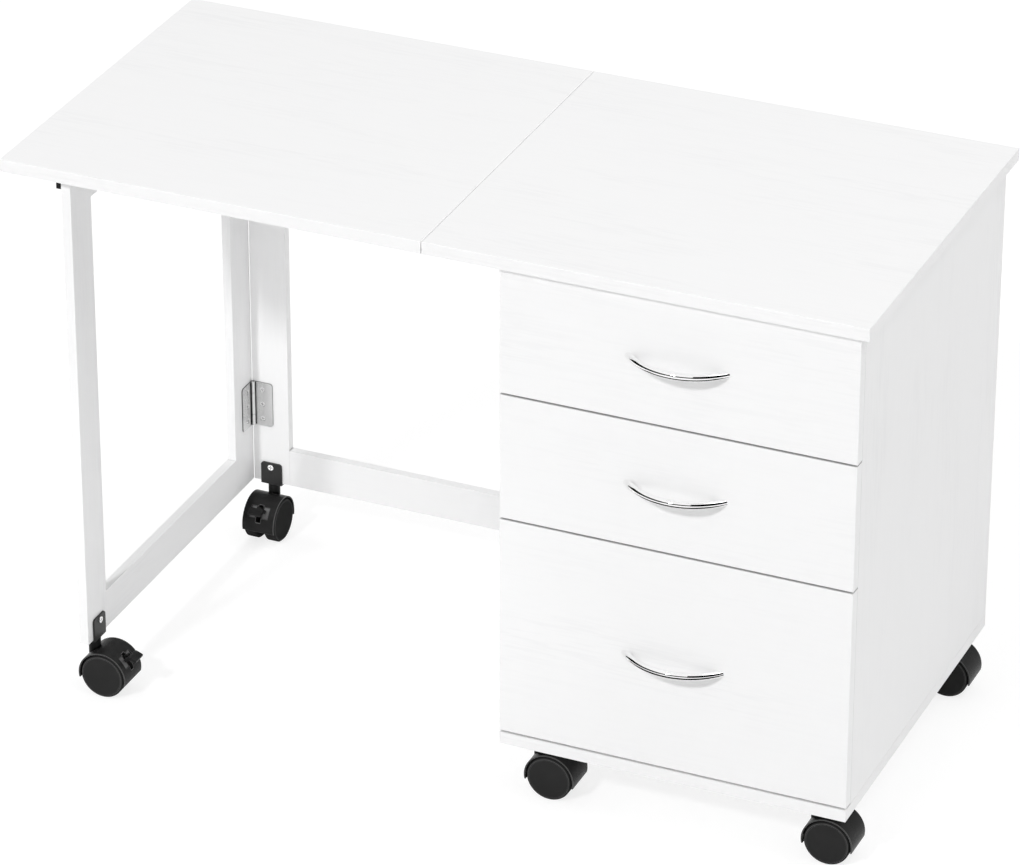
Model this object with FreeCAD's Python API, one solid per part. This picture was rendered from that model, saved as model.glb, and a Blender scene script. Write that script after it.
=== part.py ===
import FreeCAD, Part
import math
import os

from FreeCAD import Vector

# Folding desk on casters: a drawer cabinet under the right half of the top, and a leaf on the left
# that two hinged gate frames carry. X runs along the desk, Y to the back, Z up, in millimetres.
# The origin is on the floor, under the middle of the whole desk.

# Top: two equal halves that meet in a seam across the middle
half_length = 550.0
top_depth = 515.0
top_thickness = 16.0
desk_height = 732.0
top_edge_radius = 1.0

# Continuous hinge that is let into the seam
strip_plate = 0.6
strip_gap = 0.2
strip_drop = 10.0
strip_end_inset = 2.0
knuckle_radius = 1.0
knuckle_length = 25.0
knuckle_gap = 0.3
seam_pin_radius = 0.5
seam_room = 0.3
folded_gap = 0.3
strip_screw_count = 5

# Cabinet
left_overhang = 95.0
right_overhang = 12.0
front_overhang = 8.6
back_overhang = 8.4
panel_thickness = 15.0
bottom_thickness = 16.0
back_thickness = 5.0
top_rail_width = 60.0

# Drawers: two shallow ones over a deep one
front_thickness = 15.0
shallow_front_height = 163.5
front_gap = 2.5
top_gap = 1.0
front_stand_off = 1.0
front_edge_radius = 0.8
drawer_wall = 12.0
drawer_floor = 4.0
drawer_back_space = 38.0
box_lift = 12.0
box_headroom = 42.0
runner_space = 12.5
runner_side_gap = 2.5
runner_height = 32.0
runner_wall = 1.2
runner_slack = 1.5
runner_rise = 30.0

# Bow handles
handle_length = 130.0
handle_projection = 30.0
handle_bar_radius = 4.75
handle_screw_radius = 1.75
handle_screw_depth = 6.0
handle_screw_head = 3.5
handle_screw_head_height = 2.5

# Gate frames
frame_thickness = 12.0
post_width = 51.0
bottom_rail_height = 51.0
top_rail_height = 45.0
frame_top_gap = 1.0
side_frame_inset = 74.0
side_frame_setback = 15.0
rear_frame_setback = 31.0
corner_gap = 1.0
stow_margin = 0.5

# Stop block under the leaf, outside the side frame
stop_width = 6.0
stop_length = 25.0
stop_height = 16.0
stop_gap = 0.5
stop_screw_bite = 10.0

# Butt hinges of the gate
hinge_height = 63.0
hinge_leaf_width = 27.0
hinge_plate = 1.5
hinge_barrel_radius = 3.0
hinge_pin_radius = 1.6
hinge_end_distance = 82.0
hinge_butt_gap = 1.0
hinge_knuckle_gap = 0.4
hinge_corner_radius = 4.0
hinge_screw_reach = 12.5

# Screws
screw_radius = 1.6
screw_head_radius = 3.2
screw_length = 9.0
screw_sink = 0.6
pan_head_radius = 4.0
pan_head_height = 1.8
plate_screw_length = 11.0
strip_screw_radius = 1.0
strip_screw_head_radius = 1.8
strip_screw_length = 12.0
post_screw_bite = 22.0
post_screw_count = 3
cross_width = 0.9
cross_depth = 0.7
cross_margin = 1.0

# Casters
wheel_radius = 29.0
wheel_width = 16.7
wheel_bevel = 2.0
wheel_groove = 0.6
wheel_cover = 4.0
wheel_proud = 0.4
caster_trail = 20.0
hood_gap = 1.8
hood_wall = 1.6
hood_skirt = 6.7
web_thickness = 10.0
web_gap = 1.0
turret_radius = 7.75
turret_height = 10.0
stem_radius = 4.0
stem_length = 28.0
axle_radius = 3.0
caster_plate = 2.5
caster_plate_side = 40.0
caster_screw_offset = 14.0
bracket_width = 29.5
bracket_height = 28.5
bracket_screw_height = 23.0
bracket_corner_radius = 4.0
caster_inset_left = 38.0
caster_inset_right = 48.0
caster_inset_front = 37.0
caster_inset_back = 42.0
side_caster_setback = 27.5

# Brake lever of the two gate casters, laid out along a radius of the hood
lever_angle = 38.0
lever_pivot_depth = 10.4
lever_pivot_rise = 6.0
lever_hub_radius = 3.0
lever_pin_radius = 1.5
lever_thickness = 6.0
lever_stem_height = 5.0
pedal_width = 18.0
pedal_reach = 10.6
pedal_lip = 11.0
pedal_lip_angle = 59.0
pedal_bend_radius = 4.0
pedal_height = 4.5
pedal_drop = 1.0
pedal_tip_radius = 1.5
slot_width = 26.0
slot_height = 15.5
pocket_drop = 6.0

# Fits
turning_clearance = 0.05
moving_gap = 0.5

# Caster levels that follow from the sizes above
well_radius = wheel_radius + hood_gap
hood_radius = well_radius + hood_wall
turret_top_z = wheel_radius + hood_radius + turret_height
mount_z = turret_top_z + moving_gap
ground_clearance = mount_z + caster_plate
stem_bottom_z = ground_clearance - stem_length
wheel_inner = web_thickness / 2 + web_gap
wheel_outer = wheel_inner + wheel_width
hood_half = wheel_outer - wheel_proud
lever_pivot_out = hood_radius - lever_pivot_depth
pedal_start = hood_radius + 2 * moving_gap

# Edges and levels of the top and the cabinet
under_z = desk_height - top_thickness
handle_reach = max(handle_projection - front_overhang, 0)
top_front_y = -(top_depth - handle_reach) / 2
top_back_y = top_front_y + top_depth
half_seam = strip_gap / 2 + strip_plate
seam_z = desk_height + folded_gap / 2

cabinet_left_x = left_overhang
cabinet_right_x = half_length - right_overhang
cabinet_middle_x = (cabinet_left_x + cabinet_right_x) / 2
inner_left_x = cabinet_left_x + panel_thickness
inner_right_x = cabinet_right_x - panel_thickness
cabinet_front_y = top_front_y + front_overhang
cabinet_back_y = top_back_y - back_overhang
front_back_y = cabinet_front_y + front_thickness
panel_front_y = front_back_y + front_stand_off
back_panel_y = cabinet_back_y - back_thickness
drawer_back_y = back_panel_y - drawer_back_space
floor_z = ground_clearance + bottom_thickness

# Edges of the gate frames and the places of their hinge lines
frame_top_z = under_z - frame_top_gap
side_left_x = -half_length + side_frame_inset
side_right_x = side_left_x + frame_thickness
side_front_y = top_front_y + side_frame_setback
rear_face_y = top_back_y - rear_frame_setback
rear_back_y = rear_face_y + frame_thickness
rear_left_x = side_right_x + corner_gap
corner_x = side_right_x + hinge_barrel_radius
gate_x = frame_thickness + hinge_barrel_radius + stow_margin
rear_right_x = gate_x - hinge_butt_gap
hinge_y = rear_face_y - hinge_barrel_radius
hinge_levels = (
    ground_clearance + hinge_end_distance,
    frame_top_z - hinge_end_distance - hinge_height,
)

# Pivot of each caster, and the turn of its trail from +X about Z
left_pivot_x = cabinet_left_x + caster_inset_left
right_pivot_x = cabinet_right_x - caster_inset_right
front_pivot_y = cabinet_front_y + caster_inset_front
back_pivot_y = cabinet_back_y - caster_inset_back
cabinet_casters = {
    "front_left_caster": (left_pivot_x, front_pivot_y, 0),
    "front_right_caster": (right_pivot_x, front_pivot_y, 0),
    "back_left_caster": (left_pivot_x, back_pivot_y, -90),
    "back_right_caster": (right_pivot_x, back_pivot_y, 0),
}
side_caster = (side_left_x + frame_thickness / 2, side_front_y + side_caster_setback, 0)
rear_caster = (rear_left_x + post_width / 2, rear_face_y + frame_thickness / 2, -90)
gate_casters = {"side_frame_caster": side_caster, "rear_frame_caster": rear_caster}

UP = Vector(0, 0, 1)
BACK = Vector(0, 1, 0)
RIGHT = Vector(1, 0, 0)


def drawer_levels():
    """Bottom and top of each drawer front, from the top drawer down."""
    levels = []
    top = under_z - top_gap
    for _ in range(2):
        levels.append((top - shallow_front_height, top))
        top -= shallow_front_height + front_gap
    levels.append((floor_z + front_gap, top))
    return levels


def block(x, y, z):
    """A box between two limits along each axis, in either order."""
    low = Vector(min(x), min(y), min(z))
    return Part.makeBox(abs(x[1] - x[0]), abs(y[1] - y[0]), abs(z[1] - z[0]), low)


def rod(start, direction, radius, length):
    return Part.makeCylinder(radius, length, start, direction)


def near(a, b):
    return abs(a - b) < 1e-6


def edges_at(shape, test):
    """The edges whose ends all pass a test."""
    return [edge for edge in shape.Edges if all(test(v.Point) for v in edge.Vertexes)]


def at(shape, point, axis=UP, turn=0):
    """A copy turned about an axis through the origin, and then moved."""
    copy = shape.copy()
    copy.rotate(Vector(), axis, turn)
    copy.translate(point)
    return copy


def save(name, *solids):
    shape = solids[0] if len(solids) == 1 else Part.makeCompound(list(solids))
    shape.exportStep(os.path.join("parts", name + ".step"))


# Screws point along +Y, from a surface at the origin


def flat_screw(radius, head_radius, length):
    """A countersunk screw, with the top of its head at the surface."""
    head = Part.makeCone(head_radius, radius, head_radius - radius, Vector(), BACK)
    return head.fuse(rod(Vector(), BACK, radius, length)).removeSplitter()


def pan_screw(length):
    """A screw with a low round head that stands on the surface."""
    head = rod(Vector(0, -pan_head_height, 0), BACK, pan_head_radius, pan_head_height)
    return head.fuse(rod(Vector(), BACK, screw_radius, length)).removeSplitter()


def crossed(screw, head_top, head_radius):
    """A screw with a cross cut into its head."""
    arm = (cross_margin - head_radius, head_radius - cross_margin)
    slot = (-cross_width / 2, cross_width / 2)
    depth = (head_top, head_top + cross_depth)
    return screw.cut([block(slot, depth, arm), block(arm, depth, slot)])


def top_half(side):
    """The half of the top on the +X or -X side of the seam, hollowed round the hinge in the seam."""
    board = block((side * half_seam, side * half_length), (top_front_y, top_back_y), (under_z, desk_height))
    upper = edges_at(board, lambda p: near(p.z, desk_height))
    outer = [edge for edge in upper if not near(edge.CenterOfMass.x, side * half_seam)]
    hollow = rod(Vector(0, top_front_y, seam_z), BACK, knuckle_radius + seam_room, top_depth)
    return board.makeFillet(top_edge_radius, outer).cut(hollow)


def seam_strip(side):
    """Half of the seam's hinge: a plate on the edge of one board, and every second knuckle."""
    y0 = top_front_y + strip_end_inset
    y1 = top_back_y - strip_end_inset
    count = max(2, int((y1 - y0) // knuckle_length))
    pitch = (y1 - y0) / count
    x = (side * strip_gap / 2, side * half_seam)
    plate_top = seam_z - knuckle_radius - knuckle_gap
    knuckles = []
    for i in range(0 if side > 0 else 1, count, 2):
        y = (y0 + i * pitch + knuckle_gap / 2, y0 + (i + 1) * pitch - knuckle_gap / 2)
        knuckles.append(rod(Vector(0, y[0], seam_z), BACK, knuckle_radius, y[1] - y[0]))
        knuckles.append(block(x, y, (plate_top, seam_z - knuckle_radius / 2)))
    plate = block(x, (y0, y1), (seam_z - strip_drop, plate_top))
    bore = seam_rod(seam_pin_radius + turning_clearance)
    return plate.multiFuse(knuckles).removeSplitter().cut(bore)


def seam_rod(radius):
    start = Vector(0, top_front_y + strip_end_inset, seam_z)
    return rod(start, BACK, radius, top_depth - 2 * strip_end_inset)


def seam_screws(side):
    """Screws through one hinge strip into the edge of its board."""
    screw = flat_screw(strip_screw_radius, strip_screw_head_radius, strip_screw_length)
    step = (top_depth - 2 * strip_end_inset) / strip_screw_count
    x = side * strip_gap / 2
    z = seam_z - (strip_drop + knuckle_radius) / 2
    first = top_front_y + strip_end_inset + step / 2
    places = [Vector(x, first + i * step, z) for i in range(strip_screw_count)]
    return [at(screw, place, UP, -90 * side) for place in places]


# Butt hinge, standing on the origin with its barrel round Z. A leaf's plate runs along +X, and its
# board is at +Y, or at -Y for side = -1.


def hinge_leaf(middle, side):
    """One leaf, with the middle knuckle or the two end ones."""
    face = side * hinge_barrel_radius
    plate = block((0, hinge_leaf_width), (face - side * hinge_plate, face), (0, hinge_height))
    outer = edges_at(plate, lambda p: near(p.x, hinge_leaf_width))
    corners = [edge for edge in outer if edge.BoundBox.YLength > hinge_plate / 2]
    plate = plate.makeFillet(hinge_corner_radius, corners)
    quarter = hinge_height / 4
    half_gap = hinge_knuckle_gap / 2
    ends = [(0, quarter - half_gap), (3 * quarter + half_gap, hinge_height)]
    centre = [(quarter + half_gap, 3 * quarter - half_gap)]
    own, other = (centre, ends) if middle else (ends, centre)
    leaf = plate.multiFuse([knuckle(hinge_barrel_radius, *z) for z in own]).removeSplitter()
    room = hinge_barrel_radius + hinge_knuckle_gap
    notches = [knuckle(room, z[0] - hinge_knuckle_gap, z[1] + hinge_knuckle_gap) for z in other]
    bore = knuckle(hinge_pin_radius + turning_clearance, 0, hinge_height)
    return leaf.cut([*notches, bore, *leaf_screws(hinge_screw_hole, side)])


def knuckle(radius, low, high):
    return rod(Vector(0, 0, low), UP, radius, high - low)


def leaf_screws(screw, side):
    """The three screws of one leaf."""
    y = side * (hinge_barrel_radius - hinge_plate)
    turn = 0 if side > 0 else 180
    heights = [hinge_height * sixth / 6 for sixth in (1, 3, 5)]
    return [at(screw, Vector(hinge_screw_reach, y, z), UP, turn) for z in heights]


def on_hinge_line(shape, x, turn=0):
    """A hinge piece at both levels of the hinge line at x."""
    return [at(shape, Vector(x, hinge_y, z), UP, turn) for z in hinge_levels]


def hinge_side(x, turn, side, middle):
    """Both leaves on one side of a hinge line, the holes for their screws, and the screws."""
    leaves = on_hinge_line(hinge_leaf(middle, side), x, turn)
    holes = [h for hole in leaf_screws(hinge_screw_hole, side) for h in on_hinge_line(hole, x, turn)]
    screws = [s for screw in leaf_screws(crossed_hinge_screw, side) for s in on_hinge_line(screw, x, turn)]
    return leaves, holes, screws


def hinge_pins(x):
    return on_hinge_line(knuckle(hinge_pin_radius, 0, hinge_height), x)


def frame_members(start, end, cross, along_x, holes):
    """Two posts and two rails of a gate frame, in order: the rails run between the posts."""

    def member(span, levels):
        board = block(span, cross, levels) if along_x else block(cross, span, levels)
        return board.cut(holes)

    bottom, top = ground_clearance, frame_top_z
    between = (start + post_width, end - post_width)
    return [
        member((start, start + post_width), (bottom, top)),
        member((end - post_width, end), (bottom, top)),
        member(between, (bottom, bottom + bottom_rail_height)),
        member(between, (top - top_rail_height, top)),
    ]


# A caster has its pivot on Z and trails towards +X


def caster_stem():
    return rod(Vector(0, 0, stem_bottom_z), UP, stem_radius, stem_length)


def plate_screws(screw):
    """Four screws that point up through a caster plate."""
    corner = caster_screw_offset
    places = [(sx * corner, sy * corner) for sx in (-1, 1) for sy in (-1, 1)]
    return [at(screw, Vector(x, y, mount_z), RIGHT, 90) for x, y in places]


def caster_mount():
    """The square plate of a cabinet caster and the stem that is riveted into it."""
    half = (-caster_plate_side / 2, caster_plate_side / 2)
    plate = block(half, half, (mount_z, ground_clearance))
    return [plate.cut([caster_stem(), *plate_screws(plate_screw)]), caster_stem()]


def caster_bracket():
    """An angle bracket for a frame, with its plate on the board's -Y face and its tab below."""
    face = -frame_thickness / 2
    x = (-bracket_width / 2, bracket_width / 2)
    top = ground_clearance + bracket_height
    plate = block(x, (face - caster_plate, face), (mount_z, top))
    corners = [e for e in edges_at(plate, lambda p: near(p.z, top)) if near(e.BoundBox.XLength, 0)]
    plate = plate.makeFillet(bracket_corner_radius, corners)
    tab = block(x, (face - caster_plate, -face), (mount_z, ground_clearance))
    bracket = plate.fuse(tab).removeSplitter()
    return [bracket.cut([caster_stem(), on_bracket(bracket_screw)]), caster_stem()]


def on_bracket(screw):
    y = -frame_thickness / 2 - caster_plate
    return at(screw, Vector(0, y, ground_clearance + bracket_screw_height))


def around_axle(radius, low, high):
    """A cylinder round the wheel axle, between two limits along Y."""
    return rod(Vector(caster_trail, low, wheel_radius), BACK, radius, high - low)


def caster_hood():
    """The hood over both wheels, its middle web, and the turret that turns on the stem."""
    web = web_thickness / 2
    hood = around_axle(hood_radius, -hood_half, hood_half)
    hood = hood.fuse(rod(Vector(0, 0, wheel_radius), UP, turret_radius, turret_top_z - wheel_radius))
    wells = [around_axle(well_radius, web, hood_half), around_axle(well_radius, -hood_half, -web)]
    reach = hood_radius + caster_trail
    below = block((-reach, reach), (-hood_half, hood_half), (-reach, wheel_radius - hood_skirt))
    bore_low = stem_bottom_z - moving_gap
    bore = rod(Vector(0, 0, bore_low), UP, stem_radius + turning_clearance, turret_top_z - bore_low)
    axle_hole = around_axle(axle_radius + turning_clearance, -web, web)
    return hood.cut([*wells, below, bore, axle_hole]).removeSplitter()


def on_radius(shape):
    """Takes what is drawn along +X from the axle to the angle of the brake lever."""
    return at(shape, Vector(caster_trail, 0, wheel_radius), BACK, -lever_angle)


def lever_rod(radius, half):
    """A cylinder round the lever's pivot."""
    return on_radius(rod(Vector(lever_pivot_out, -half, lever_pivot_rise), BACK, radius, 2 * half))


def lever_room():
    """The slot in the hood, the pocket in its web, and the holes for the lever's pins."""
    out = hood_radius + pedal_reach
    low = -slot_height / 2
    slot = block((well_radius, out), (-slot_width / 2, slot_width / 2), (low, -low))
    half = lever_thickness / 2 + moving_gap
    room = lever_hub_radius + 2 * moving_gap
    pocket_z = (low - pocket_drop, lever_pivot_rise + room)
    pocket = block((lever_pivot_out - room, out), (-half, half), pocket_z)
    pins = lever_rod(lever_pin_radius + turning_clearance, web_thickness / 2)
    return [on_radius(slot), on_radius(pocket), pins]


def brake_pedal():
    """The lever's pedal: a plate that leaves the slot along the radius and bends down in a lip."""
    slope = math.radians(pedal_lip_angle)
    top = pedal_height - pedal_drop
    bend = pedal_start + pedal_reach
    tip = (bend + pedal_lip * math.cos(slope), top - pedal_lip * math.sin(slope))
    under = (tip[0] - pedal_height * math.sin(slope), tip[1] - pedal_height * math.cos(slope))
    inner_bend = (bend - pedal_height * math.tan(slope / 2), -pedal_drop)
    outline = [(pedal_start, top), (bend, top), tip, under, inner_bend, (pedal_start, -pedal_drop)]
    points = [Vector(x, -pedal_width / 2, z) for x, z in outline]
    plate = Part.Face(Part.makePolygon([*points, points[0]])).extrude(BACK * pedal_width)

    def edge_along(x, z):
        return edges_at(plate, lambda p: near(p.x, x) and near(p.z, z))

    tip_edges = edge_along(*tip) + edge_along(*under)
    plate = plate.makeFillet(min(pedal_tip_radius, pedal_height / 3), tip_edges)
    return plate.makeFillet(pedal_bend_radius, edge_along(bend, top))


def brake_lever():
    """A lever on two small pins in the web, whose pedal stands out of the hood's slot."""
    half = lever_thickness / 2
    hub = lever_rod(lever_hub_radius, half)
    pins = lever_rod(lever_pin_radius, web_thickness / 2 - moving_gap)
    stem_x = (lever_pivot_out, pedal_start + pedal_height)
    stem = block(stem_x, (-half, half), (lever_pivot_rise - lever_stem_height, lever_pivot_rise))
    return hub.multiFuse([pins, on_radius(stem), on_radius(brake_pedal())]).removeSplitter()


def wheel(side):
    """One wheel with a bevelled rim, a groove round its face and a blind hole for the axle."""

    def ring(radius, low, high):
        return around_axle(radius, *sorted((side * low, side * high)))

    disc = ring(wheel_radius, wheel_inner, wheel_outer)
    disc = disc.makeChamfer(wheel_bevel, [edge for edge in disc.Edges if edge.Closed])
    groove_radius = wheel_radius - wheel_bevel - wheel_groove
    groove_y = (wheel_outer - wheel_groove, wheel_outer)
    groove = ring(groove_radius, *groove_y).cut(ring(groove_radius - wheel_groove, *groove_y))
    return disc.cut([groove, ring(axle_radius, wheel_inner, wheel_outer - wheel_cover)])


def wheel_set():
    """Both wheels and the axle that they are pressed on."""
    end = wheel_outer - wheel_cover
    return [wheel(1), wheel(-1), around_axle(axle_radius, -end, end)]


def bow_handle(z):
    """A round bar bent to an arc and cut off flush with the drawer front, and its two screws."""
    half = handle_length / 2
    behind = (half ** 2 - handle_projection ** 2) / (2 * handle_projection)
    bend = behind + handle_projection - handle_bar_radius
    ring = Part.makeTorus(bend, handle_bar_radius, Vector(cabinet_middle_x, cabinet_front_y + behind, z))
    x = (cabinet_middle_x - handle_length, cabinet_middle_x + handle_length)
    before = (cabinet_front_y - handle_length, cabinet_front_y)
    bar = ring.common(block(x, before, (z - handle_length, z + handle_length)))
    reach = math.sqrt(bend ** 2 - (behind + handle_screw_depth / 2) ** 2)
    screws = [handle_screw(Vector(cabinet_middle_x + s * reach, front_back_y, z)) for s in (-1, 1)]
    return bar.cut(screws), screws


def handle_screw(start):
    """A screw from the back of a drawer front into the foot of its handle."""
    head = rod(start, BACK, handle_screw_head, handle_screw_head_height)
    shank = rod(start, -BACK, handle_screw_radius, front_thickness + handle_screw_depth)
    return head.fuse(shank).removeSplitter()


def drawer_box(bottom, top):
    """Two sides, a back between them, and a floor below; the drawer front closes the box."""
    left, right = inner_left_x + runner_space, inner_right_x - runner_space
    y = (front_back_y, drawer_back_y)
    z = (bottom + box_lift, bottom + box_lift + drawer_floor, top - box_headroom)
    return [
        block((left, left + drawer_wall), y, z[1:]),
        block((right - drawer_wall, right), y, z[1:]),
        block((left + drawer_wall, right - drawer_wall), (drawer_back_y - drawer_wall, drawer_back_y), z[1:]),
        block((left, right), y, z[:2]),
    ]


def runner_pair(bottom, wall_x, inward):
    """A channel on the cabinet's side, and the bar on the drawer that slides in it."""
    middle = bottom + box_lift + drawer_floor + runner_rise
    y = (panel_front_y, drawer_back_y)

    def bar(start, end, half):
        return block((wall_x + inward * start, wall_x + inward * end), y, (middle - half, middle + half))

    depth = runner_space - runner_side_gap
    inside = runner_height / 2 - runner_wall
    channel = bar(0, depth, runner_height / 2).cut(bar(runner_wall, depth, inside))
    return channel, bar(runner_wall + runner_slack, runner_space, inside - runner_slack)


def drawer_front(bottom, top, holes):
    board = block((cabinet_left_x, cabinet_right_x), (cabinet_front_y, front_back_y), (bottom, top))
    face = edges_at(board, lambda p: near(p.y, cabinet_front_y))
    return board.makeFillet(front_edge_radius, face).cut(holes)


def make_leaf():
    """The leaf, its half of the seam's hinge, and the stop block on its underside."""
    x = (side_left_x - stop_gap - stop_width, side_left_x - stop_gap)
    y = (side_front_y, side_front_y + stop_length)
    stop = block(x, y, (under_z - stop_height, under_z))
    screw = flat_screw(strip_screw_radius, strip_screw_head_radius, stop_height + stop_screw_bite)
    stop_screw = at(screw, Vector(sum(x) / 2, sum(y) / 2, under_z - stop_height), RIGHT, 90)
    screws = [*seam_screws(-1), stop_screw]
    save("leaf_top", top_half(-1).cut(screws))
    save("top_hinge_leaf_strip", seam_strip(-1).cut(screws))
    save("leaf_stop_block", stop.cut(stop_screw))
    save("leaf_screws", *screws)


def make_cabinet():
    """The fixed half of the top, the carcase under it, and the post that the gate hangs on."""
    seam = seam_screws(1)
    save("fixed_top", top_half(1).cut(seam))
    save("top_hinge_fixed_strip", seam_strip(1).cut(seam))
    save("top_hinge_pin", seam_rod(seam_pin_radius))

    leaves, leaf_holes, leaf_heads = hinge_side(gate_x, 0, 1, False)
    post_screws = hinge_post_screws()
    post_x = (gate_x + hinge_butt_gap, cabinet_left_x)
    post = block(post_x, (rear_face_y, rear_back_y), (ground_clearance, under_z))
    save("gate_hinge_fixed_leaves", *leaves)
    save("gate_hinge_pins", *hinge_pins(gate_x))
    save("gate_hinge_post", post.cut([*leaf_holes, *post_screws]))

    depth = (panel_front_y, cabinet_back_y)
    height = (floor_z, under_z)
    between = (inner_left_x, inner_right_x)
    save("left_side_panel", block((cabinet_left_x, inner_left_x), depth, height).cut(post_screws))
    save("right_side_panel", block((inner_right_x, cabinet_right_x), depth, height))
    save("back_panel", block(between, (back_panel_y, cabinet_back_y), height))
    rail_z = (under_z - panel_thickness, under_z)
    front_rail = block(between, (panel_front_y, panel_front_y + top_rail_width), rail_z)
    back_rail = block(between, (back_panel_y - top_rail_width, back_panel_y), rail_z)
    save("top_rails", front_rail, back_rail)

    places = [Vector(x, y, 0) for x, y, _ in cabinet_casters.values()]
    holes = [at(screw, place) for place in places for screw in plate_screws(plate_screw)]
    heads = [at(screw, place) for place in places for screw in plate_screws(crossed_plate_screw)]
    full_depth = (cabinet_front_y, cabinet_back_y)
    board = block((cabinet_left_x, cabinet_right_x), full_depth, (ground_clearance, floor_z))
    save("bottom_board", board.cut(holes))
    save("cabinet_caster_plates", *[at(solid, place) for place in places for solid in caster_mount()])
    save("cabinet_screws", *seam, *leaf_heads, *post_screws, *heads)


def hinge_post_screws():
    """Screws through the left side panel into the edge of the hinge post."""
    screw = flat_screw(screw_radius, screw_head_radius, panel_thickness + post_screw_bite)
    step = (under_z - floor_z) / post_screw_count
    y = (rear_face_y + rear_back_y) / 2
    heights = [floor_z + (i + 0.5) * step for i in range(post_screw_count)]
    return [at(screw, Vector(inner_left_x, y, z), UP, 90) for z in heights]


def make_drawers():
    channels = []
    for number, (bottom, top) in enumerate(drawer_levels(), 1):
        name = f"drawer_{number}"
        handle, screws = bow_handle((bottom + top) / 2)
        pairs = [runner_pair(bottom, inner_left_x, 1), runner_pair(bottom, inner_right_x, -1)]
        save(name + "_front", drawer_front(bottom, top, screws))
        save(name + "_handle", handle, *screws)
        save(name + "_box", *drawer_box(bottom, top))
        save(name + "_runners", *[bar for _, bar in pairs])
        channels += [channel for channel, _ in pairs]
    save("cabinet_runners", *channels)


def make_rear_frame():
    """The frame that swings on the hinge post and carries the side frame."""
    gate_leaves, gate_holes, gate_screws = hinge_side(gate_x, 180, -1, True)
    corner_leaves, corner_holes, corner_screws = hinge_side(corner_x, 0, 1, False)
    bracket, hole, screw = placed_bracket(rear_caster, 0)
    holes = [*gate_holes, *corner_holes, hole]
    members = frame_members(rear_left_x, rear_right_x, (rear_face_y, rear_back_y), True, holes)
    for title, member in zip(("left_post", "right_post", "bottom_rail", "top_rail"), members):
        save("rear_frame_" + title, member)
    save("gate_hinge_moving_leaves", *gate_leaves)
    save("corner_hinge_fixed_leaves", *corner_leaves)
    save("corner_hinge_pins", *hinge_pins(corner_x))
    save("rear_caster_bracket", *bracket)
    save("rear_frame_screws", *gate_screws, *corner_screws, screw)


def make_side_frame():
    """The frame at the left end of the desk, which folds against the rear frame."""
    leaves, leaf_holes, leaf_heads = hinge_side(corner_x, -90, -1, True)
    bracket, hole, screw = placed_bracket(side_caster, 90)
    holes = [*leaf_holes, hole]
    members = frame_members(side_front_y, rear_face_y, (side_left_x, side_right_x), False, holes)
    for title, member in zip(("front_post", "rear_post", "bottom_rail", "top_rail"), members):
        save("side_frame_" + title, member)
    save("corner_hinge_moving_leaves", *leaves)
    save("side_caster_bracket", *bracket)
    save("side_frame_screws", *leaf_heads, screw)


def placed_bracket(caster, turn):
    """A frame's caster bracket with its stem, the hole for its screw, and the screw."""
    pivot = Vector(caster[0], caster[1], 0)
    solids = [at(solid, pivot, UP, turn) for solid in caster_bracket()]
    hole = at(on_bracket(bracket_screw), pivot, UP, turn)
    screw = at(on_bracket(crossed_bracket_screw), pivot, UP, turn)
    return solids, hole, screw


def make_casters():
    wheels = wheel_set()
    hood = caster_hood()
    for name, (x, y, turn) in cabinet_casters.items():
        save(name + "_hood", at(hood, Vector(x, y, 0), UP, turn))
        save(name + "_wheels", *[at(solid, Vector(x, y, 0), UP, turn) for solid in wheels])
    slotted_hood = hood.cut(lever_room())
    for name, (x, y, turn) in gate_casters.items():
        save(name + "_hood", at(slotted_hood, Vector(x, y, 0), UP, turn))
        save(name + "_wheels", *[at(solid, Vector(x, y, 0), UP, turn) for solid in wheels])
        save(name + "_brake_lever", at(brake_lever(), Vector(x, y, 0), UP, turn))


hinge_screw_hole = flat_screw(screw_radius, screw_head_radius + screw_sink, screw_length + screw_sink)
hinge_screw = at(flat_screw(screw_radius, screw_head_radius, screw_length), BACK * screw_sink)
crossed_hinge_screw = crossed(hinge_screw, screw_sink, screw_head_radius)
plate_screw = pan_screw(plate_screw_length)
crossed_plate_screw = crossed(plate_screw, -pan_head_height, pan_head_radius)
bracket_screw = pan_screw(screw_length)
crossed_bracket_screw = crossed(bracket_screw, -pan_head_height, pan_head_radius)

os.makedirs("parts", exist_ok=True)
make_leaf()
make_cabinet()
make_drawers()
make_rear_frame()
make_side_frame()
make_casters()
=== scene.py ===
import math

import bpy
from mathutils import Matrix, Vector

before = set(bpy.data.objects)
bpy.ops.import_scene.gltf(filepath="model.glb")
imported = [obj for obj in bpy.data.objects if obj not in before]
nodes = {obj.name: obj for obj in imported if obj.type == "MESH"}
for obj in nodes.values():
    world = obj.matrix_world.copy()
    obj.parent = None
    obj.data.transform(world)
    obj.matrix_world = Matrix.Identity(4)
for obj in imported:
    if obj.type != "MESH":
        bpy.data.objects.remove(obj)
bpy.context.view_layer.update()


# Cabinet carcase
# Side panels, bottom board, top rails and the post that carries the gate: chipboard faced with a thin
# white film, into which a fine wood grain is pressed. The boards are sawn, edged with the same film, and
# joined at the corners.


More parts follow.
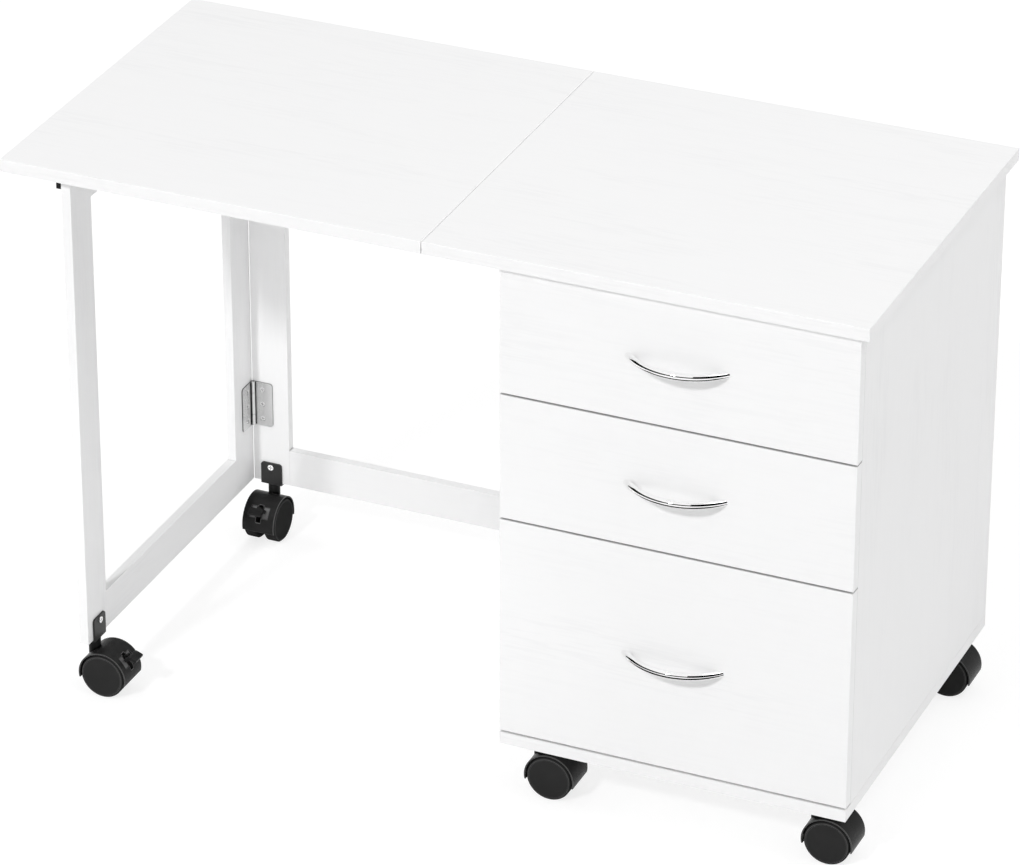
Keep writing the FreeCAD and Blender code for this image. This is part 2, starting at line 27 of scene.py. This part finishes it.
class Shade:
    """A socket in a material. Sums with it add Math nodes, and node() adds any other node."""

    def __init__(self, tree, socket=None):
        self.tree = tree
        self.socket = socket

    def node(self, kind, sockets=None, settings=None, out=0):
        """Adds a node, with its settings first and then the values or links of its sockets."""
        made = self.tree.nodes.new("ShaderNode" + kind)
        for key, value in (settings or {}).items():
            if key == "stops":
                ramp = made.color_ramp.elements
                while len(ramp) < len(value):
                    ramp.new(1.0)
                for stop, (place, level) in zip(ramp, value):
                    stop.position = place
                    stop.color = (level, level, level, 1)
            else:
                setattr(made, key, value)
        for key, value in (sockets or {}).items():
            if isinstance(value, Shade):
                self.tree.links.new(value.socket, made.inputs[key])
            else:
                made.inputs[key].default_value = value
        return Shade(self.tree, made.outputs[out])

    def math(self, operation, a, b=0.0):
        return self.node("Math", {0: a, 1: b}, {"operation": operation})

    def __add__(self, other):
        return self.math("ADD", self, other)

    __radd__ = __add__

    def __sub__(self, other):
        return self.math("SUBTRACT", self, other)

    def __rsub__(self, other):
        return self.math("SUBTRACT", other, self)

    def __mul__(self, other):
        return self.math("MULTIPLY", self, other)

    __rmul__ = __mul__

    def __abs__(self):
        return self.math("ABSOLUTE", self)

    def mix(self, low, high):
        """A colour between two others, with this value as the share of the second."""
        return self.node("Mix", {0: self, 6: low, 7: high}, {"data_type": "RGBA"}, out=2)


def surface(name, **constants):
    """A new material with one shader, whose sockets get constant values: its shader and its tree."""
    material = bpy.data.materials.new(name)
    material.use_nodes = True
    shader = material.node_tree.nodes["Principled BSDF"]
    for key, value in constants.items():
        shader.inputs[key.replace("_", " ")].default_value = value
    return material, shader, Shade(material.node_tree)


def feed(shader, **sockets):
    """Links values that vary over the surface to the shader."""
    for key, value in sockets.items():
        value.tree.links.new(value.socket, shader.inputs[key.replace("_", " ")])


def grey(level):
    return (level, level, level, 1)


def streaks(shade, scale, **settings):
    """Noise with a scale for each axis, drawn out along the axis whose scale is small."""
    place = shade.node("TexCoord", out="Object")
    spot = shade.node("Mapping", {"Vector": place, "Scale": scale})
    return shade.node("TexNoise", {"Vector": spot, "Scale": 1.0, **settings})


def open_to_air(shade, reach):
    """1 on open faces, falling to 0 in crevices that are narrower than the reach."""
    open_share = shade.node("AmbientOcclusion", {"Distance": reach}, {"only_local": False}, out="AO")
    return shade.node("ValToRGB", {"Fac": open_share}, {"stops": [(0.5, 0.0), (0.9, 1.0)]})


def laminate(name, grain, crevice_shade_level=0.6):
    """White film with its grain along one axis, and shade painted grey deep into its crevices.

    Front and back faces are left out of the painted shade, so only the edges and the sides turn grey.
    """
    material, shader, shade = surface(name, IOR=1.46)

    def along_grain(across, along):
        return [along if axis == grain else across for axis in range(3)]

    pores = streaks(shade, along_grain(300.0, 16.0), Detail=2.0, Roughness=0.6)
    figure = streaks(shade, along_grain(14.0, 3.0), Detail=3.0, Distortion=0.5)
    lines = shade.node("ValToRGB", {"Fac": pores}, {"stops": [(0.4, 1.0), (0.52, 0.0)]})
    patches = shade.node("ValToRGB", {"Fac": figure}, {"stops": [(0.46, 0.0), (0.66, 1.0)]})
    pressed = lines * (patches * 0.8 + 0.2)
    smooth_white = (0.912, 0.912, 0.914, 1)
    pressed_white = (0.886, 0.886, 0.89, 1)
    film = pressed.mix(smooth_white, pressed_white)
    normal = shade.node("TexCoord", out="Normal")
    faces_front_or_back = abs(shade.node("SeparateXYZ", {"Vector": normal}, out="Y"))
    # Painted shade: the film turns grey where little open air is near, except on front and back faces.
    unshaded = shade.math("MAXIMUM", faces_front_or_back, open_to_air(shade, reach=0.004))
    feed(
        shader,
        Base_Color=unshaded.mix(grey(crevice_shade_level), film),
        Roughness=0.46 + pressed * 0.14,
        Normal=shade.node("Bump", {"Strength": 0.15, "Distance": 0.00025, "Height": 1.0 - pressed}),
    )
    return material


def dress(material, *names):
    """Gives the named pieces a material."""
    for name in names:
        nodes[name].data.materials.clear()
        nodes[name].data.materials.append(material)


def soften(*names):
    """Rounds the sharp edges of boards a little, once their faces are joined along the edges."""
    for name in names:
        weld = nodes[name].modifiers.new("joined_faces", "WELD")
        weld.merge_threshold = 0.000002
        bevel = nodes[name].modifiers.new("eased_edges", "BEVEL")
        bevel.width = 0.0006
        bevel.segments = 2
        bevel.limit_method = "ANGLE"
        bevel.angle_limit = math.radians(40)
        bevel.harden_normals = True


along_desk, across_desk, upwards = range(3)
level_grain = laminate("laminate_grain_along_desk", along_desk)
upright_grain = laminate("laminate_grain_upright", upwards)
# Paler painted shade in the crevices, for the tops, the bottom board and the top rails.
lightly_shaded_grain = laminate("laminate_lightly_shaded", along_desk, crevice_shade_level=0.9)
side_panels = ("left_side_panel", "right_side_panel")
dress(upright_grain, *side_panels, "gate_hinge_post")
dress(lightly_shaded_grain, "bottom_board", "top_rails")
soften(*side_panels, "bottom_board")


# Back panel and drawer boxes
# Thin plain board, white on its face side, without the pressed grain. The back is let in between the side
# panels, and each drawer's sides and back stand on a floor that is pinned from below.


def speckle(shade, scale, detail):
    """Noise that is alike in all directions, and finer for a larger scale."""
    place = shade.node("TexCoord", out="Object")
    return shade.node("TexNoise", {"Vector": place, "Scale": scale, "Detail": detail})


board, board_shader, shade = surface("plain_board", IOR=1.45)
fibres = speckle(shade, scale=900.0, detail=2.0)
clouds = speckle(shade, scale=12.0, detail=3.0)
dull_white = (0.82, 0.82, 0.81, 1)
plain_white = (0.88, 0.88, 0.875, 1)
feed(
    board_shader,
    Base_Color=(fibres * 0.6 + clouds * 0.4).mix(dull_white, plain_white),
    Roughness=0.6 - fibres * 0.1,
    Normal=shade.node("Bump", {"Strength": 0.1, "Distance": 0.0001, "Height": fibres}),
)
drawers = ("drawer_1", "drawer_2", "drawer_3")
dress(board, "back_panel", *[drawer + "_box" for drawer in drawers])


# Drawer runners
# Rolled steel channels on the cabinet's sides and bars on the drawers, zinc plated: pale grey, with
# the faint crystals of the plating and lines along the way that they slide.
zinc, zinc_shader, shade = surface("zinc_plate", Metallic=1.0)
place = shade.node("TexCoord", out="Object")
crystals = shade.node("TexVoronoi", {"Vector": place, "Scale": 240.0}, out="Distance")
lines = streaks(shade, (1500.0, 12.0, 1500.0), Detail=2.0)
feed(
    zinc_shader,
    Base_Color=(crystals * 0.5 + lines * 0.5).mix(grey(0.52), grey(0.68)),
    Roughness=0.3 + lines * 0.2,
)
dress(zinc, "cabinet_runners", *[drawer + "_runners" for drawer in drawers])


# Drawer fronts
# The same white faced board as the carcase, with the grain level, rounded along the front edges where
# the edging is trimmed. The handle's screws pull each front against its box.
dress(level_grain, *[drawer + "_front" for drawer in drawers])


# Handles
# A bow of round bar, polished and chromium plated, with a screw in each foot. The plating is almost a
# mirror, a little softer where hands have touched it.
chrome, chrome_shader, shade = surface("chrome_plate", Metallic=1.0, Base_Color=grey(0.93))
touch = speckle(shade, scale=70.0, detail=3.0)
feed(chrome_shader, Roughness=0.02 + touch * 0.05)
dress(chrome, *[drawer + "_handle" for drawer in drawers])


# Top
# Two equal boards of the same white faced stock, 16 mm thick, with the grain along the desk. Their
# edges are rounded, and along the seam they are hollowed for the hinge; the shade painted into their
# crevices is paler than on most boards.
dress(lightly_shaded_grain, "fixed_top", "leaf_top")


# Seam hinge
# A slim continuous hinge, lacquered white like the boards, with a pin through all of its knuckles. It
# is screwed to the edges of both halves, so that only a thin line shows.
lacquer, lacquer_shader, shade = surface("white_lacquer", IOR=1.5)
peel = speckle(shade, scale=1600.0, detail=1.0)
feed(
    lacquer_shader,
    Base_Color=peel.mix(grey(0.92), grey(0.97)),
    Roughness=0.3 + peel * 0.15,
)
dress(lacquer, "top_hinge_fixed_strip", "top_hinge_leaf_strip", "top_hinge_pin")


# Gate frames
# Two frames of narrow boards, white faced like the rest, with upright grain in the posts and grain along
# the rails. The rails are dowelled between the posts.
cross_grain = laminate("laminate_grain_across_desk", across_desk)
posts = (
    "rear_frame_left_post",
    "rear_frame_right_post",
    "side_frame_front_post",
    "side_frame_rear_post",
)
rear_rails = ("rear_frame_bottom_rail", "rear_frame_top_rail")
side_rails = ("side_frame_bottom_rail", "side_frame_top_rail")
dress(upright_grain, *posts)
dress(level_grain, *rear_rails)
dress(cross_grain, *side_rails)
soften(*posts, *rear_rails, *side_rails)


# Butt hinges
# Pressed steel leaves rolled round a pin, nickel plated and left with the fine lines of the rolling.
# Shade is painted dark into the crevices beside the barrel. Two hinges carry the gate on its post and two
# join its frames, with three screws in each leaf.
nickel, nickel_shader, shade = surface("nickel_plate", Metallic=1.0)
lines = streaks(shade, (900.0, 900.0, 30.0), Detail=3.0)
# Painted shade: the plating is darkened in narrow crevices, such as those beside the barrel.
unshaded_share = open_to_air(shade, reach=0.005)
feed(
    nickel_shader,
    Base_Color=(unshaded_share * (0.62 + lines * 0.1) + 0.03).mix(grey(0.0), grey(1.0)),
    Roughness=0.2 + lines * 0.1,
)
dress(
    nickel,
    "gate_hinge_fixed_leaves",
    "gate_hinge_moving_leaves",
    "gate_hinge_pins",
    "corner_hinge_fixed_leaves",
    "corner_hinge_moving_leaves",
    "corner_hinge_pins",
)


# Screws
# Steel wood screws, plated with bright zinc that shines a little unevenly, with shade painted dark
# into the recess of each head. They hold the hinges, the caster plates and brackets, the gate's post
# and the stop block.
bright, bright_shader, shade = surface("bright_zinc", Metallic=1.0)
shine = speckle(shade, scale=1800.0, detail=2.0)
# Painted shade: the zinc is darkened in the recess of each head and in other narrow crevices.
unshaded_share = open_to_air(shade, reach=0.0008)
feed(
    bright_shader,
    Base_Color=(unshaded_share * (0.9 + shine * 0.1) + 0.02).mix(grey(0.0), grey(1.0)),
    Roughness=0.1 + shine * 0.12,
)
dress(bright, "cabinet_screws", "leaf_screws", "rear_frame_screws", "side_frame_screws")


# Caster plates and brackets
# Pressed steel, powder coated in satin black, with the slight orange peel of the coat. Each holds the
# stem that its caster turns on. A plate has four screws into the bottom board, and a bracket has one
# into its frame.
powder, powder_shader, shade = surface("black_powder_coat", IOR=1.4)
peel = speckle(shade, scale=1300.0, detail=2.0)
feed(
    powder_shader,
    Base_Color=peel.mix(grey(0.016), grey(0.028)),
    Roughness=0.38 + peel * 0.14,
    Normal=shade.node("Bump", {"Strength": 0.15, "Distance": 0.0001, "Height": peel}),
)
dress(powder, "cabinet_caster_plates", "rear_caster_bracket", "side_caster_bracket")


# Casters
# Twin wheels under a hood, moulded in black nylon: the wheels are matt and the hoods satin. Both are
# painted paler along their open edges, as wear and as a highlight, and painted darker in their crevices
# as shade. The gate's two casters have a brake lever of the same nylon, and the small stop block under
# the leaf matches them.


def moulding(name, names, depth, wear_and_highlight, gloss):
    """Black nylon for the pieces named: a base level, a gloss, edges painted paler as wear and highlight.
    """
    nylon, shader, shade = surface(name, IOR=1.4, Specular_IOR_Level=gloss)
    skin = speckle(shade, scale=2400.0, detail=2.0)
    flow = speckle(shade, scale=60.0, detail=3.0)
    inward = {"inside": True, "only_local": True}
    # Painted highlight and wear: open edges of the moulding are made paler.
    solid_share = shade.node("AmbientOcclusion", {"Distance": 0.0012}, inward, out="AO")
    edge = shade.node("ValToRGB", {"Fac": solid_share}, {"stops": [(0.45, 1.0), (0.85, 0.0)]})
    # Painted shade: the colour is darkened in crevices, such as the lever slots and the gaps round the
    # wheels.
    lit = (flow * 0.006 + depth + edge * wear_and_highlight) * open_to_air(shade, reach=0.003)
    feed(
        shader,
        Base_Color=(lit + 0.002).mix(grey(0.0), grey(1.0)),
        Roughness=0.18 + skin * 0.1 + flow * 0.06,
        Normal=shade.node("Bump", {"Strength": 0.08, "Distance": 0.0001, "Height": skin}),
    )
    dress(nylon, *names)


casters = ("front_left", "front_right", "back_left", "back_right", "side_frame", "rear_frame")
wheels = [caster + "_caster_wheels" for caster in casters]
hoods = [caster + "_caster_hood" for caster in casters]
levers = ("side_frame_caster_brake_lever", "rear_frame_caster_brake_lever")
moulding("matt_nylon", wheels, depth=0.024, wear_and_highlight=0.1, gloss=0.0)
moulding("satin_nylon", hoods, depth=0.014, wear_and_highlight=0.14, gloss=0.08)
moulding("plain_nylon", [*levers, "leaf_stop_block"], depth=0.012, wear_and_highlight=0.02, gloss=0.08)


# Studio
# A wide white floor under an even white sky. A lamp at the front left gives the shadows, a broad one
# fills from the right, and a small low one lights the frames under the leaf. Dark cards that only
# reflections see draw the bright metal.
floor_mesh = bpy.data.meshes.new("floor")
reach = 30.0
corners = [(-reach, -reach, 0), (reach, -reach, 0), (reach, reach, 0), (-reach, reach, 0)]
floor_mesh.from_pydata(corners, [], [(0, 1, 2, 3)])
floor = bpy.data.objects.new("floor", floor_mesh)
bpy.context.scene.collection.objects.link(floor)


def background(shade):
    """1 where the camera, a mirror or glass sees it, and 0 where it lights the desk."""
    camera_sees = shade.node("LightPath", out="Is Camera Ray")
    mirror_sees = shade.node("LightPath", out="Is Glossy Ray")
    glass_sees = shade.node("LightPath", out="Is Transmission Ray")
    return camera_sees + mirror_sees + glass_sees


paper, paper_shader, shade = surface(
    "white_paper", Roughness=0.9, Specular_IOR_Level=0.0, Emission_Strength=1.0
)
seen = background(shade)
feed(
    paper_shader,
    Base_Color=seen.mix(grey(0.93), grey(0.3)),
    Emission_Color=seen.mix(grey(0.0), grey(0.78)),
)
floor_mesh.materials.append(paper)

world = bpy.data.worlds.new("white_sky")
world.use_nodes = True
seen = background(Shade(world.node_tree))
feed(world.node_tree.nodes["Background"], Color=seen.mix(grey(0.54), grey(1.0)))
bpy.context.scene.world = world


def lamp(name, aim, towards, distance, size, energy, spread=180):
    """A square lamp that looks at a point from some way off; its spread is in degrees."""
    data = bpy.data.lights.new(name, "AREA")
    data.size = size
    data.energy = energy
    data.spread = math.radians(spread)
    made = bpy.data.objects.new(name, data)
    towards = Vector(towards).normalized()
    made.location = Vector(aim) + towards * distance
    made.rotation_euler = towards.to_track_quat("Z", "Y").to_euler()
    bpy.context.scene.collection.objects.link(made)


desk_middle = (0.0, 0.0, 0.4)
under_leaf = (-0.5, 0.1, 0.2)
lamp("key_lamp", desk_middle, (-0.25, -1.0, 0.85), distance=14.0, size=1.1, energy=760.0)
lamp("side_lamp", desk_middle, (1.0, 0.1, 1.5), distance=9.0, size=5.0, energy=213.0)
lamp("low_lamp", under_leaf, (0.6, -1.0, -0.02), distance=3.0, size=0.4, energy=0.17, spread=18)

card_black = surface("black_card", Base_Color=grey(0.0), Roughness=1.0, Specular_IOR_Level=0.0)[0]


def card(name, points):
    """A black sheet with four corners that only shows in reflections."""
    mesh = bpy.data.meshes.new(name)
    mesh.from_pydata(points, [], [(0, 1, 2, 3)])
    mesh.materials.append(card_black)
    made = bpy.data.objects.new(name, mesh)
    bpy.context.scene.collection.objects.link(made)
    made.visible_camera = False
    made.visible_diffuse = False
    made.visible_shadow = False


def standing_card(name, start, end, low, high):
    card(name, [(*start, low), (*end, low), (*end, high), (*start, high)])


lift = 0.004
card("floor_card", [(-0.6, -0.85, lift), (1.2, -0.85, lift), (1.2, -0.3, lift), (-0.6, -0.3, lift)])
standing_card("front_card", (-2.4, -6.5), (2.4, -6.5), low=0.9, high=4.2)
standing_card("front_right_card", (2.4, -6.5), (7.0, -2.0), low=0.4, high=9.0)
standing_card("right_card", (7.0, -2.0), (7.0, 3.0), low=0.4, high=9.0)
standing_card("front_left_card", (-2.4, -6.5), (-5.0, -3.0), low=0.4, high=4.2)
standing_card("left_card", (-5.0, -3.0), (-5.0, 1.0), low=0.1, high=4.2)


# Camera
# A long lens at the front right, looking down at the desk. The shift places the lens's axis on the
# point of the picture that it has in the photograph.
picture_width, picture_height = 1020, 865
focal_pixels = 5462.1
axis_pixel = (481.9, 365.9)
camera_data = bpy.data.cameras.new("camera")
camera_data.sensor_width = 36.0
camera_data.lens = focal_pixels / picture_width * camera_data.sensor_width
camera_data.shift_x = (picture_width / 2 - axis_pixel[0]) / picture_width
camera_data.shift_y = (axis_pixel[1] - picture_height / 2) / picture_width
camera_data.clip_end = 100.0
camera = bpy.data.objects.new("camera", camera_data)
camera.location = (2.3437, -5.3716, 3.53)
looks_along = Vector((-0.35815, 0.80963, -0.465))
up = Vector((-0.18634, 0.42603, 0.88531))
camera.rotation_euler = Matrix((looks_along.cross(up), up, -looks_along)).transposed().to_euler()
bpy.context.scene.collection.objects.link(camera)
bpy.context.scene.camera = camera
bpy.context.scene.view_settings.view_transform = "Standard"
